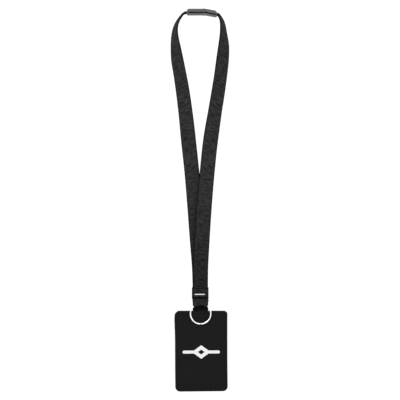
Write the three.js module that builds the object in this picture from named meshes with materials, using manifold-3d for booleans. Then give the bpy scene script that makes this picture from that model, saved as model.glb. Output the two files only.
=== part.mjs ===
// A neck lanyard with a breakaway clasp, a split ring and a fabric badge holder, hanging as worn.
// Millimetres, +Z up, +X to the right and the front facing -Y. The origin is on the clasp's
// underside, below its joint, where the loop rests on a neck or a peg.

import * as THREE from "three";
import { mergeVertices } from "three/addons/utils/BufferGeometryUtils.js";
import Module from "manifold-3d";

// Webbing
const WEB_WIDTH = 20;
const WEB_THICKNESS = 1.1; // of the loop and the tab
const SPAN_STEPS = 3; // sections between two points of a route
const HANG_X = -1; // where the label, loop, ring and tab hang

// Clasp
const CLASP_WIDTH = 24;
const CLASP_HEIGHT = 8.1;
const SEAM_Z = 3.15; // the plane where a half's two shells meet, and where the webbing runs
const SEAM_GAP = 0.3;
const SOCKET_END_X = -19.2;
const JOINT_X = -0.1; // the socket's mouth
const COLLAR_X = [0.5, 5];
const COLLAR_PROUD = 0.2; // beyond the socket's faces
const TAIL_LENGTH = 16.2;
const TAIL_TILT = 10; // degrees that the plug's tail droops
const SOCKET_CHAMFER = { upper: [1.9, 2.3], lower: [1.2, 0.8] }; // along X and Z, at its outer end
const TAIL_CHAMFER = { upper: [3, 2.2], lower: [0.8, 0.6] };
const COLLAR_CHAMFER = [0.5, 0.5];
const CREASE = { x: 6.2, z: 5.65, length: 6.6, width: 0.8, depth: 0.8, tilt: 45.6 };
const CHANNEL = { width: 20.6, height: 3.5, depth: 8, pocket: 3.4 }; // where the webbing is held
const TONGUE = { width: 9, height: 2.8, length: 10, rootX: 9.3, play: 0.35 };
const STEP = { width: 10, endX: 1.6, play: 0.3 }; // the socket's middle, which the collar takes
const RIB = { y: [5.3, 6.3], x: [-11, -1.6], height: 0.8, play: 0.2 }; // locates the socket's shells
const GROOVE = { height: 1.8, depth: 5.2, fromEnd: 2.2 };

// Sewn label
const LABEL = { x: -1.3, top: -362.7, bottom: -377.9, width: 22.3, depth: 3.4, wall: 0.35 };
const LABEL_MARK = { x: -2, z: -372.2, width: 14, height: 1.4, thickness: 0.3, gap: 0.05 };

// Split ring
const RING = { x: -0.8, y: -3.35, z: -397.9, outer: 14.35, inner: 12.75, depth: 2.7 };
const RING_EDGE = { chamfer: 0.5, groove: 0.35 };
const RING_SEGMENTS = 48;

// Webbing loop that carries the ring
const LOOP = { topY: -0.65, topZ: -380.6, topRadius: 1.15, clear: 0.55 };
const LOOP_HALF_WIDTH = { top: 10.8, low: 9.3 };
const LOOP_INSIDE = { halfDepth: 2, apexY: -1.15, apexZ: -382.5, apexRadius: 0.15 };
const LOOP_STATIONS = 12;

// Badge holder: its outline, and where each layer starts and ends from front (low y) to back
const HOLDER = { halfWidth: 35, top: -394.3, bottom: -501.6, topRadius: 4.4, bottomRadius: 6.5 };
const LAYER = {
  hem: [-1.5, -1.15],
  frontPanel: [-1.05, -0.2],
  stiffener: [0.05, 0.95],
  lining: [1.15, 1.55],
  window: [2.85, 3.2],
  frame: [3.3, 3.75],
  binding: [-1.6, 4.3],
};
const BINDING = { edge: 0.5, lap: 2.8 };
const PANEL_INSET = 0.75; // from the holder's outline to the edge of its panels
const STIFFENER_DROP = 17; // leaves the tab room above it
const TAB_END = -409;
const TAB_WIDTH = 20.8;
const WINDOW = { halfWidth: 25.2, top: -404, bottom: -489.5, radius: 4, lap: 3 };
const NOTCH = { radius: 9, rise: 3 }; // thumb notch in the frame's top edge
const HEM = { height: 2.6, fold: 0.35, clear: 0.05, endGap: 0.3 };
const EMBLEM = { z: -449, y: [-1.55, -1.15], bar: [50, 4], diamond: [25, 18], hole: [9, 6.5] };

// Routes: x, y, z of the webbing's middle, how far its width is turned from facing the front (0)
// to lying front to back (90), and its thickness. The straps are tubular webbing, full at the
// clasp and pressed flat where the label is sewn.
const LEFT_ROUTE = [
  [-11.25, 0, SEAM_Z, 90, 2.8],
  [-16, 0, SEAM_Z, 90, 2.8],
  [-19.6, 0, 3.25, 90, 2.8],
  [-22.1, 0, 3, 86.8, 2.8],
  [-24.9, 0, 0.9, 85, 2.5],
  [-28.2, 0, -3.4, 83.6, 2.4],
  [-31.4, 0, -8.65, 80.8, 2.4],
  [-33.7, 0, -14.5, 76.6, 2.3],
  [-35, 0, -22, 69.6, 2.2],
  [-35.1, 0, -31, 60.9, 2.1],
  [-34, 0.1, -43, 49, 2],
  [-31.8, 0.3, -60, 35.5, 1.9],
  [-27.8, 0.6, -82, 30, 1.8],
  [-24.3, 0.9, -104, 23, 1.7],
  [-20.4, 1.4, -134, 16.5, 1.6],
  [-16.6, 1.9, -170, 3, 1.5],
  [-12.35, 2.3, -210, 7, 1.4],
  [-8.8, 2.2, -252, 3, 1.35],
  [-5.6, 1.6, -295, 3, 1.3],
  [-2.5, 1.3, -334, 1, 1.25],
  [-1.55, 0.66, -360, 0, 1.2],
  [-1.5, 0.64, -376.5, 0, 1.2],
];
const RIGHT_ROUTE = [
  [9.82, 0, 2.3, 90, 2.8],
  [14.5, 0, 1.48, 90, 2.8],
  [20.9, 0, 0.36, 90, 2.8],
  [22.8, 0, 0.6, 86.5, 2.7],
  [24.4, 0, -1.05, 83.2, 2.6],
  [26.5, 0, -4.9, 79.6, 2.4],
  [28.15, 0, -9.6, 75.4, 2.4],
  [29.1, 0, -15.5, 70.2, 2.3],
  [29.65, 0, -23, 64.8, 2.2],
  [30, 0, -32, 54.8, 2.1],
  [29.9, -0.1, -43, 43, 2],
  [28.4, -0.3, -60, 32.8, 1.9],
  [25.7, -0.6, -82, 29.5, 1.8],
  [22.4, -0.9, -104, 25.2, 1.7],
  [17.5, -1.4, -134, 20.3, 1.6],
  [12.1, -1.9, -170, 4, 1.5],
  [7.95, -2.3, -210, 7, 1.4],
  [4.4, -2.2, -252, 4, 1.35],
  [1.55, -1.6, -295, 3, 1.3],
  [-0.6, -1.3, -334, 1, 1.25],
  [HANG_X, -0.66, -360, 0, 1.2],
  [HANG_X, -0.64, -376.5, 0, 1.2],
];
const TAB_ROUTE = [
  [HANG_X, 1.2, -380.05, 0, WEB_THICKNESS],
  [HANG_X, 1.15, -383.3, 0, WEB_THICKNESS],
  [HANG_X, 0.8, -388.5, 0, WEB_THICKNESS],
  [HANG_X, 0.5, -394.5, 0, WEB_THICKNESS],
  [HANG_X, 0.5, -401.5, 0, WEB_THICKNESS],
  [HANG_X, 0.5, TAB_END, 0, WEB_THICKNESS],
];

const FRONT_TO_BACK = new THREE.Vector3(0, 1, 0);

const wasm = await Module();
wasm.setup();

// ---- Geometry helpers ----

function solid(geometry) {
  const bare = geometry.clone();
  bare.deleteAttribute("normal");
  bare.deleteAttribute("uv");
  const merged = mergeVertices(bare, 1e-4);
  const mesh = new wasm.Mesh({
    numProp: 3,
    vertProperties: merged.attributes.position.array,
    triVerts: new Uint32Array(merged.index.array),
  });
  return new wasm.Manifold(mesh);
}

function geometryOf(manifold) {
  const mesh = manifold.getMesh();
  const geometry = new THREE.BufferGeometry();
  geometry.setAttribute("position", new THREE.BufferAttribute(mesh.vertProperties, 3));
  geometry.setIndex(new THREE.BufferAttribute(mesh.triVerts, 1));
  geometry.computeVertexNormals();
  return geometry;
}

function joined(...geometries) {
  return geometries.map(solid).reduce((whole, piece) => whole.add(piece));
}

function cut(whole, ...geometries) {
  return geometries.map(solid).reduce((rest, piece) => rest.subtract(piece), whole);
}

function block([x0, x1], [y0, y1], [z0, z1]) {
  const geometry = new THREE.BoxGeometry(x1 - x0, y1 - y0, z1 - z0);
  return geometry.translate((x0 + x1) / 2, (y0 + y1) / 2, (z0 + z1) / 2);
}

// A flat piece whose outline is in X and Z, filling Y from front to back.
function plate(shape, [front, back], curveSegments = 5) {
  const settings = { depth: back - front, bevelEnabled: false, curveSegments };
  const geometry = new THREE.ExtrudeGeometry(shape, settings);
  return geometry.rotateX(Math.PI / 2).translate(0, back, 0);
}

function polygon(points) {
  return new THREE.Shape(points.map(([x, z]) => new THREE.Vector2(x, z)));
}

function roundedRectangle([left, right], [bottom, top], bottomRadius, topRadius = bottomRadius) {
  const shape = new THREE.Shape();
  const quarter = Math.PI / 2;
  shape.absarc(left + bottomRadius, bottom + bottomRadius, bottomRadius, 2 * quarter, 3 * quarter);
  shape.absarc(right - bottomRadius, bottom + bottomRadius, bottomRadius, -quarter, 0);
  shape.absarc(right - topRadius, top - topRadius, topRadius, 0, quarter);
  shape.absarc(left + topRadius, top - topRadius, topRadius, quarter, 2 * quarter);
  return shape;
}

// Joins rows of points, each a closed ring of the same count, with quads.
function skin(rows, indices, reversed = false) {
  const count = rows[0].length;
  const place = (row, k) => rows[row][k % count];
  for (let row = 0; row + 1 < rows.length; row++)
    for (let k = 0; k < count; k++) {
      const quad = [place(row, k), place(row, k + 1), place(row + 1, k + 1), place(row + 1, k)];
      const [a, b, c, d] = reversed ? quad.reverse() : quad;
      indices.push(a, b, c, a, c, d);
    }
}

function surface(points, indices) {
  const geometry = new THREE.BufferGeometry();
  geometry.setFromPoints(points);
  geometry.setIndex(indices);
  geometry.computeVertexNormals();
  return geometry;
}

function smoothCurve(values) {
  return new THREE.CatmullRomCurve3(values, false, "catmullrom", 0.5);
}

// Flat webbing along a route. side is 1 where the loop's inside is on the +X side, or -1.
function webbing(route, side, width) {
  const middle = smoothCurve(route.map(([x, y, z]) => new THREE.Vector3(x, y, z)));
  const section = smoothCurve(route.map((point) => new THREE.Vector3(point[3], point[4], 0)));
  const steps = (route.length - 1) * SPAN_STEPS;
  const points = [];
  const rows = [];
  for (let i = 0; i <= steps; i++) {
    const centre = middle.getPoint(i / steps);
    const along = middle.getTangent(i / steps);
    const { x: turn, y: thickness } = section.getPoint(i / steps);
    const angle = THREE.MathUtils.degToRad(turn);
    const inward = along.clone().cross(FRONT_TO_BACK).normalize().multiplyScalar(side);
    const across = inward.multiplyScalar(Math.cos(angle)).addScaledVector(FRONT_TO_BACK, -Math.sin(angle));
    const out = along.clone().cross(across);
    rows.push([0, 1, 2, 3].map((k) => 4 * i + k));
    for (const [u, v] of [[-0.5, -0.5], [0.5, -0.5], [0.5, 0.5], [-0.5, 0.5]])
      points.push(
        centre.clone().addScaledVector(across, u * width).addScaledVector(out, v * thickness),
      );
  }
  const indices = [];
  skin(rows, indices);
  const [a, b, c, d] = rows[0];
  const [e, f, g, h] = rows[steps];
  indices.push(c, b, a, d, c, a, e, f, g, e, g, h);
  return surface(points, indices);
}

// The outline round two circles, as [first, second] coordinates.
function aroundTwoCircles(top, topRadius, low, lowRadius, arcSteps) {
  const distance = Math.hypot(low[0] - top[0], low[1] - top[1]);
  const heading = Math.atan2(low[1] - top[1], low[0] - top[0]);
  const lean = Math.acos((topRadius - lowRadius) / distance);
  const outline = [];
  const arc = ([u, v], radius, from, to) => {
    for (let i = 0; i <= arcSteps; i++) {
      const angle = from + ((to - from) * i) / arcSteps;
      outline.push([u + radius * Math.cos(angle), v + radius * Math.sin(angle)]);
    }
  };
  arc(top, topRadius, heading + lean, heading + 2 * Math.PI - lean);
  arc(low, lowRadius, heading - lean, heading + lean);
  return outline;
}

// ---- Clasp ----

// The side outline of an upper or lower shell, with a chamfer of its own at each end.
function shellOutline([x0, x1], upper, [run0, rise0], [run1, rise1], proud = 0) {
  const outward = upper ? 1 : -1;
  const face = (upper ? CLASP_HEIGHT : 0) + outward * proud;
  return polygon([
    [x0, SEAM_Z + (outward * SEAM_GAP) / 2],
    [x0, face - outward * rise0],
    [x0 + run0, face],
    [x1 - run1, face],
    [x1, face - outward * rise1],
    [x1, SEAM_Z + (outward * SEAM_GAP) / 2],
  ]);
}

const claspDepth = [-CLASP_WIDTH / 2, CLASP_WIDTH / 2];

function grooves(x0, x1) {
  const inner = CLASP_WIDTH / 2 - GROOVE.depth;
  const z = [SEAM_Z - GROOVE.height / 2, SEAM_Z + GROOVE.height / 2];
  return [[inner, CLASP_WIDTH], [-CLASP_WIDTH, -inner]].map((y) => block([x0, x1], y, z));
}

function webbingChannel(x0, x1) {
  const half = CHANNEL.width / 2;
  return block([x0, x1], [-half, half], [SEAM_Z - CHANNEL.height / 2, SEAM_Z + CHANNEL.height / 2]);
}

// One of the socket's two shells. The lower one carries ribs, and the upper one clears them.
function socketShell(upper) {
  const chamfer = upper ? SOCKET_CHAMFER.upper : SOCKET_CHAMFER.lower;
  const outline = shellOutline([SOCKET_END_X, JOINT_X], upper, chamfer, COLLAR_CHAMFER);
  const faces = upper ? [SEAM_Z + SEAM_GAP / 2, CLASP_HEIGHT] : [0, SEAM_Z - SEAM_GAP / 2];
  const whole = joined(plate(outline, claspDepth), step(faces, 0));
  const shell = upper ? cut(whole, ...ribs(RIB.play)) : joined(...ribs(0)).add(whole);
  const slot = tongue(STEP.endX + 1, TONGUE.play);
  const channel = webbingChannel(SOCKET_END_X - 1, SOCKET_END_X + CHANNEL.depth);
  return geometryOf(cut(shell, slot, channel, ...grooves(SOCKET_END_X + GROOVE.fromEnd, 0)));
}

// The middle of the socket's mouth, which stands out into the collar. play makes it larger.
function step(z, play) {
  const half = STEP.width / 2 + play;
  return block([JOINT_X - 1, STEP.endX + play], [-half, half], z);
}

// Two ribs on the socket's lower shell, either side of the tongue. play makes them larger.
function ribs(play) {
  const x = [RIB.x[0] - play, RIB.x[1] + play];
  const z = [SEAM_Z - 1, SEAM_Z + RIB.height + play];
  const [near, far] = [RIB.y[0] - play, RIB.y[1] + play];
  return [block(x, [near, far], z), block(x, [-far, -near], z)];
}

// The plug's tongue, from its tip to endX. play makes it larger all round.
function tongue(endX, play) {
  const half = TONGUE.width / 2 + play;
  const reach = TONGUE.height / 2 + play;
  const tip = JOINT_X - TONGUE.length - play;
  return block([tip, endX], [-half, half], [SEAM_Z - reach, SEAM_Z + reach]);
}

// Slanting creases on the front and the back of the tail's root, above the seam.
function creases() {
  const { x, z, length, width, depth, tilt } = CREASE;
  const inner = CLASP_WIDTH / 2 - depth;
  return [[inner, CLASP_WIDTH], [-CLASP_WIDTH, -inner]].map((y) =>
    block([-length / 2, length / 2], y, [-width / 2, width / 2])
      .rotateY(THREE.MathUtils.degToRad(tilt))
      .translate(x, 0, z),
  );
}

// Turns a piece modelled level into the plug's drooping tail, about the collar's end.
function drooped(geometry) {
  return geometry
    .translate(-COLLAR_X[1], 0, -SEAM_Z)
    .rotateY(THREE.MathUtils.degToRad(TAIL_TILT))
    .translate(COLLAR_X[1], 0, SEAM_Z);
}

// One of the plug's two shells. The lower one carries the tongue, and the upper one clears it.
function plugShell(upper) {
  const [collarStart, collarEnd] = COLLAR_X;
  const tailEnd = collarEnd + TAIL_LENGTH;
  const tailX = [collarEnd - 1, tailEnd];
  const chamfer = upper ? TAIL_CHAMFER.upper : TAIL_CHAMFER.lower;
  const tailOutline = shellOutline(tailX, upper, COLLAR_CHAMFER, chamfer);
  const collarOutline = shellOutline(COLLAR_X, upper, COLLAR_CHAMFER, COLLAR_CHAMFER, COLLAR_PROUD);
  const shell = cut(
    joined(plate(collarOutline, claspDepth), drooped(plate(tailOutline, claspDepth))),
    step([-CLASP_HEIGHT, 2 * CLASP_HEIGHT], STEP.play),
    drooped(webbingChannel(tailEnd - CHANNEL.depth - CHANNEL.pocket, tailEnd + 1)),
    block([collarStart, collarEnd], [-CLASP_WIDTH, CLASP_WIDTH], [
      SEAM_Z - SEAM_GAP / 2,
      SEAM_Z + SEAM_GAP / 2,
    ]),
    ...grooves(0, collarEnd),
    ...grooves(collarEnd - 1, tailEnd - GROOVE.fromEnd / 2).map(drooped),
  );
  return geometryOf(
    upper
      ? cut(shell, tongue(TONGUE.rootX + TONGUE.play, TONGUE.play), ...creases())
      : shell.add(solid(tongue(TONGUE.rootX, 0))),
  );
}

// ---- Label, ring and loop ----

function labelSleeve() {
  const half = LABEL.width / 2;
  const outside = [LABEL.x - half, LABEL.x + half];
  const depth = [-LABEL.depth / 2, LABEL.depth / 2];
  const inset = ([low, high]) => [low + LABEL.wall, high - LABEL.wall];
  const shape = roundedRectangle(outside, depth, 1);
  shape.holes.push(roundedRectangle(inset(outside), inset(depth), 0.4));
  const settings = { depth: LABEL.top - LABEL.bottom, bevelEnabled: false, curveSegments: 3 };
  return new THREE.ExtrudeGeometry(shape, settings).translate(0, 0, LABEL.bottom);
}

// A plain bar woven on the label's face.
function labelMark() {
  const { x, z, width, height, thickness, gap } = LABEL_MARK;
  const back = -LABEL.depth / 2 - gap;
  const shape = roundedRectangle([x - width / 2, x + width / 2], [z - height / 2, z + height / 2], 0.6);
  return plate(shape, [back - thickness, back]);
}

// Two flat turns of wire side by side, with a groove between them.
function splitRing() {
  const half = RING.depth / 2;
  const { inner, outer } = RING;
  const { chamfer, groove } = RING_EDGE;
  const halfProfile = [
    [outer - groove, 0],
    [outer, groove],
    [outer, half - chamfer],
    [outer - chamfer, half],
    [inner + chamfer, half],
    [inner, half - chamfer],
    [inner, groove],
    [inner + groove, 0],
  ];
  const otherHalf = halfProfile.slice(1, -1).map(([r, h]) => [r, -h]).reverse();
  const profile = [...halfProfile, ...otherHalf, halfProfile[0]];
  const points = profile.map(([r, h]) => new THREE.Vector2(r, h));
  return new THREE.LatheGeometry(points, RING_SEGMENTS).translate(RING.x, RING.y, RING.z);
}

// A folded loop of webbing whose fold arches with the ring's inner edge.
function ringLoop() {
  const points = [];
  const outerRows = [];
  const innerRows = [];
  const arcSteps = 5;
  const { halfDepth, apexY, apexZ, apexRadius } = LOOP_INSIDE;
  const addRow = (outline, station, middleZ) => {
    const first = points.length;
    for (const [y, z] of outline) {
      const drop = THREE.MathUtils.clamp((LOOP.topZ - z) / (LOOP.topZ - middleZ), 0, 1);
      const half = THREE.MathUtils.lerp(LOOP_HALF_WIDTH.low, LOOP_HALF_WIDTH.top, (1 - drop) ** 1.5);
      points.push(new THREE.Vector3(HANG_X + station * half, y, z));
    }
    return outline.map((_, k) => first + k);
  };
  for (let i = 0; i <= LOOP_STATIONS; i++) {
    const station = (2 * i) / LOOP_STATIONS - 1;
    const aside = HANG_X + station * LOOP_HALF_WIDTH.low - RING.x;
    const arch = Math.sqrt(RING.inner ** 2 - aside ** 2);
    const middleZ = RING.z + arch - LOOP.clear + halfDepth;
    const low = [RING.y, middleZ];
    const top = [LOOP.topY, LOOP.topZ];
    const outside = aroundTwoCircles(top, LOOP.topRadius, low, halfDepth + WEB_THICKNESS, arcSteps);
    const inside = aroundTwoCircles([apexY, apexZ], apexRadius, low, halfDepth, arcSteps);
    outerRows.push(addRow(outside, station, middleZ));
    innerRows.push(addRow(inside, station, middleZ));
  }
  const indices = [];
  skin(outerRows, indices);
  skin(innerRows, indices, true);
  skin([innerRows[0], outerRows[0]], indices);
  skin([outerRows[LOOP_STATIONS], innerRows[LOOP_STATIONS]], indices);
  return surface(points, indices);
}

// ---- Badge holder ----

function holderOutline(inset, top = HOLDER.top) {
  const across = [-HOLDER.halfWidth + inset, HOLDER.halfWidth - inset];
  const bottomRadius = Math.max(HOLDER.bottomRadius - inset, 1);
  const topRadius = Math.max(HOLDER.topRadius - inset, 1);
  return roundedRectangle(across, [HOLDER.bottom + inset, top], bottomRadius, topRadius);
}

function panel(layer, drop = 0) {
  return plate(holderOutline(PANEL_INSET, HOLDER.top - drop), layer);
}

// A tape folded over the sides and the bottom, open along the top.
function edgeBinding() {
  const [front, back] = LAYER.binding;
  const aboveTop = HOLDER.top + 20;
  const whole = plate(holderOutline(0), LAYER.binding);
  const inside = [front + BINDING.edge, back - BINDING.edge];
  const pocket = plate(holderOutline(BINDING.edge, aboveTop), inside);
  const face = plate(holderOutline(BINDING.lap, aboveTop), [front - 1, back + 1]);
  return geometryOf(cut(solid(whole), pocket, face));
}

// A strip folded over the front panel's top edge, between the bindings.
function frontHem() {
  const half = HOLDER.halfWidth - BINDING.lap - HEM.endGap;
  const crest = HOLDER.top + HEM.fold;
  const strip = block([-half, half], LAYER.hem, [HOLDER.top - HEM.height, crest]);
  const depth = [LAYER.hem[0], LAYER.frontPanel[1]];
  const lip = block([-half, half], depth, [HOLDER.top + HEM.clear, crest]);
  return geometryOf(joined(strip, lip));
}

function windowFrame() {
  const shape = holderOutline(PANEL_INSET);
  const { halfWidth, bottom, top, radius } = WINDOW;
  shape.holes.push(roundedRectangle([-halfWidth, halfWidth], [bottom, top], radius));
  const notch = new THREE.CylinderGeometry(NOTCH.radius, NOTCH.radius, 20, 24);
  notch.translate(0, 0, HOLDER.top + NOTCH.rise);
  return geometryOf(cut(solid(plate(shape, LAYER.frame)), notch));
}

function cardWindow() {
  const half = WINDOW.halfWidth + WINDOW.lap;
  const height = [WINDOW.bottom - WINDOW.lap, WINDOW.top + WINDOW.lap];
  return plate(roundedRectangle([-half, half], height, 2), LAYER.window);
}

// A bar through a diamond with a diamond hole.
function emblem() {
  const { z, y, diamond, hole } = EMBLEM;
  const [halfLong, halfTall] = EMBLEM.bar.map((size) => size / 2);
  const rhombus = ([width, height]) => [
    [-width / 2, z],
    [0, z - height / 2],
    [width / 2, z],
    [0, z + height / 2],
  ];
  const strip = roundedRectangle([-halfLong, halfLong], [z - halfTall, z + halfTall], 0.99 * halfTall);
  const whole = joined(plate(strip, y), plate(polygon(rhombus(diamond)), y));
  return geometryOf(cut(whole, plate(polygon(rhombus(hole)), [y[0] - 1, y[1] + 1])));
}

// ---- Assembly ----

const finishes = {
  webbing: { color: 0x2f2f2f, roughness: 0.85, metalness: 0 },
  plastic: { color: 0x6e6e6e, roughness: 0.45, metalness: 0 },
  label: { color: 0x1c1c1c, roughness: 0.8, metalness: 0 },
  steel: { color: 0xd9d9d6, roughness: 0.2, metalness: 1 },
  fabric: { color: 0x1f1f1f, roughness: 0.9, metalness: 0 },
  board: { color: 0x55524c, roughness: 0.8, metalness: 0 },
  clear: { color: 0xe8eef0, roughness: 0.1, metalness: 0, transparent: true, opacity: 0.35 },
  white: { color: 0xf0f0ee, roughness: 0.5, metalness: 0 },
};

function part(name, geometry, finish) {
  const mesh = new THREE.Mesh(geometry, new THREE.MeshStandardMaterial(finishes[finish]));
  mesh.name = name;
  return mesh;
}

function group(...meshes) {
  return new THREE.Group().add(...meshes);
}

const clasp = group(
  part("socket_base", socketShell(false), "plastic"),
  part("socket_cover", socketShell(true), "plastic"),
  part("plug_base", plugShell(false), "plastic"),
  part("plug_cover", plugShell(true), "plastic"),
);
const straps = group(
  part("neck_strap_left", webbing(LEFT_ROUTE, 1, WEB_WIDTH), "webbing"),
  part("neck_strap_right", webbing(RIGHT_ROUTE, -1, WEB_WIDTH), "webbing"),
  part("joint_label", labelSleeve(), "label"),
  part("label_mark", labelMark(), "white"),
);
const ring = group(
  part("ring_loop", ringLoop(), "webbing"),
  part("split_ring", splitRing(), "steel"),
);
const holder = group(
  part("holder_tab", webbing(TAB_ROUTE, -1, TAB_WIDTH), "webbing"),
  part("front_panel", panel(LAYER.frontPanel), "fabric"),
  part("front_hem", frontHem(), "fabric"),
  part("stiffener", panel(LAYER.stiffener, STIFFENER_DROP), "board"),
  part("pocket_lining", panel(LAYER.lining, 1), "fabric"),
  part("card_window", cardWindow(), "clear"),
  part("window_frame", windowFrame(), "fabric"),
  part("edge_binding", edgeBinding(), "fabric"),
  part("front_emblem", emblem(), "white"),
);

export default group(clasp, straps, ring, holder);
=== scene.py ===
# A neck lanyard with a breakaway clasp, a split ring and a fabric badge holder, hanging as worn.
# Shapes are worked out in millimetres and become metres where a mesh is made.
# +Z is up, +X is to the right and the front faces -Y, as in the frame.

import math

import bmesh
import bpy
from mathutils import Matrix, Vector, noise


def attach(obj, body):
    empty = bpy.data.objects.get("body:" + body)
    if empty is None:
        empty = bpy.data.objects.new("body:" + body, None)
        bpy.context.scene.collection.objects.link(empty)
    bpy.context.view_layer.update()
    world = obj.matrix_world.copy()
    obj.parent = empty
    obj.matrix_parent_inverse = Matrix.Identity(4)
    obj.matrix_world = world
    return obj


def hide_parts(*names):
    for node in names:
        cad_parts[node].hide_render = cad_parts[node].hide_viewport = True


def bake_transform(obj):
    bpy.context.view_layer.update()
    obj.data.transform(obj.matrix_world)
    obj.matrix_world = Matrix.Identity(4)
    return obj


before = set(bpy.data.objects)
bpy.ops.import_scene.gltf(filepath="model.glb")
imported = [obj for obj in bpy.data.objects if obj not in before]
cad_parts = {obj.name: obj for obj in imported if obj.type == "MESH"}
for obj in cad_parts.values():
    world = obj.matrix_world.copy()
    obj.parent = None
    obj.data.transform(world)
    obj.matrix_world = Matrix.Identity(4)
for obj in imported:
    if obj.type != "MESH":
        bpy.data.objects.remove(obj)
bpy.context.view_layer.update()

MM = 0.001

# ---- Sizes ----

WEB_WIDTH = 20
WEB_THICKNESS = 1.1  # of the loop and the tab
HANG_X = -1
SEAM_Z = 3.15

# Routes: x, y, z of the webbing's middle, how far its width is turned from facing the front (0)
# to lying front to back (90), and its thickness. The straps are tubular webbing, which swells at
# the clasp's mouths and is pressed flat where the label is sewn.
LEFT_ROUTE = [
    (-11.25, 0, SEAM_Z, 90, 2.8),
    (-16, 0, SEAM_Z, 90, 2.8),
    (-19.4, 0, 3.2, 90, 2.9),
    (-20.8, 0, 3.4, 89, 3.8),
    (-22.3, 0, 2.8, 86.8, 3.3),
    (-24.9, 0, 0.9, 85, 2.5),
    (-28.2, 0, -3.4, 83.6, 2.4),
    (-31.4, 0, -8.65, 80.8, 2.4),
    (-33.7, 0, -14.5, 76.6, 2.3),
    (-35, 0, -22, 69.6, 2.2),
    (-35.1, 0, -31, 60.9, 2.1),
    (-34, 0.1, -43, 49, 2),
    (-31.8, 0.3, -60, 35.5, 1.9),
    (-27.8, 0.6, -82, 30, 1.8),
    (-24.3, 0.9, -104, 23, 1.7),
    (-20.4, 1.4, -134, 16.5, 1.6),
    (-16.6, 1.9, -170, 3, 1.5),
    (-12.35, 2.3, -210, 7, 1.4),
    (-8.8, 2.2, -252, 3, 1.35),
    (-5.6, 1.6, -295, 3, 1.3),
    (-2.5, 1.3, -334, 1, 1.25),
    (-1.55, 0.66, -360, 0, 1.2),
    (-1.5, 0.64, -376.5, 0, 1.2),
]
RIGHT_ROUTE = [
    (9.82, 0, 2.3, 90, 2.8),
    (14.5, 0, 1.48, 90, 2.8),
    (20.9, 0, 0.36, 90, 2.8),
    (21.9, 0, 1.15, 86.4, 4.9),
    (23.2, 0, 0.1, 85.2, 3.8),
    (24.5, 0, -1.2, 83.2, 2.9),
    (26.5, 0, -4.9, 79.6, 2.4),
    (28.15, 0, -9.6, 75.4, 2.4),
    (29.1, 0, -15.5, 70.2, 2.3),
    (29.65, 0, -23, 64.8, 2.2),
    (30, 0, -32, 54.8, 2.1),
    (29.9, -0.1, -43, 43, 2),
    (28.4, -0.3, -60, 32.8, 1.9),
    (25.7, -0.6, -82, 29.5, 1.8),
    (22.4, -0.9, -104, 25.2, 1.7),
    (17.5, -1.4, -134, 20.3, 1.6),
    (12.1, -1.9, -170, 4, 1.5),
    (7.95, -2.3, -210, 7, 1.4),
    (4.4, -2.2, -252, 4, 1.35),
    (1.55, -1.6, -295, 3, 1.3),
    (-0.6, -1.3, -334, 1, 1.25),
    (HANG_X, -0.66, -360, 0, 1.2),
    (HANG_X, -0.64, -376.5, 0, 1.2),
]
TAB_WIDTH = 20.8
TAB_ROUTE = [
    (HANG_X, 1.06, -376.7, 0, 1),
    (HANG_X, 1.5, -380.05, 0, WEB_THICKNESS),
    (HANG_X, 1.45, -383.3, 0, WEB_THICKNESS),
    (HANG_X, 0.9, -388.5, 0, WEB_THICKNESS),
    (HANG_X, 0.5, -394.5, 0, WEB_THICKNESS),
    (HANG_X, 0.5, -401.5, 0, WEB_THICKNESS),
    (HANG_X, 0.5, -409, 0, WEB_THICKNESS),
]

LABEL = {"x": -1.3, "top": -362.7, "bottom": -377.9, "half_width": 11.15, "wall": 0.35}
LABEL_DEPTHS = (1.72, 1.95)  # half the label's depth, at its top and at its mouth
LABEL_BAR = {"x": -2, "z": -372.2, "half_width": 7, "half_height": 0.65}

RING = {
    "x": -0.8,
    "y": -3.35,
    "z": -397.9,
    "outer": 14.35,
    "inner": 12.75,
    "turn": 1.3,  # the depth of one turn of the coil
    "gap": 0.06,  # between the turns
}
LOOP_TOP = (-0.65, -380.6)
LOOP_CLEAR = 0.55  # between the ring's inner edge and the fold
LOOP_HALF_DEPTH = 2
LOOP_HALF_WIDTHS = (11, 9.3)  # at its head and at its fold

HOLDER = {
    "half_width": 35,
    "top": -394.3,
    "bottom": -501.6,
    "top_radius": 4.4,
    "bottom_radius": 6.5,
}
PANEL_INSET = 0.75
BINDING_LAP = 2.8
BINDING_THICKNESS = 0.42
BINDING_FACES = (-1.6, 4.3)
FRONT_FACE = -1.05
FRONT_BACK = -0.2
CROWN = 0.42
BULGE = {"x": -22, "z": -412, "half_width": 12, "half_height": 14, "rise": 0.16}
SWELL = {"z": -407, "half_height": 14, "reach": 0.75}  # of the holder's left side
FRAME_FACES = (3.3, 3.75)
WINDOW = {"half_width": 25.2, "top": -404, "bottom": -489.5, "radius": 4}
EMBLEM = {"z": -449, "bar": (50, 4), "diamond": (25, 18), "hole": (9, 6.5), "thickness": 0.16}


# ---- Node materials ----


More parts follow.
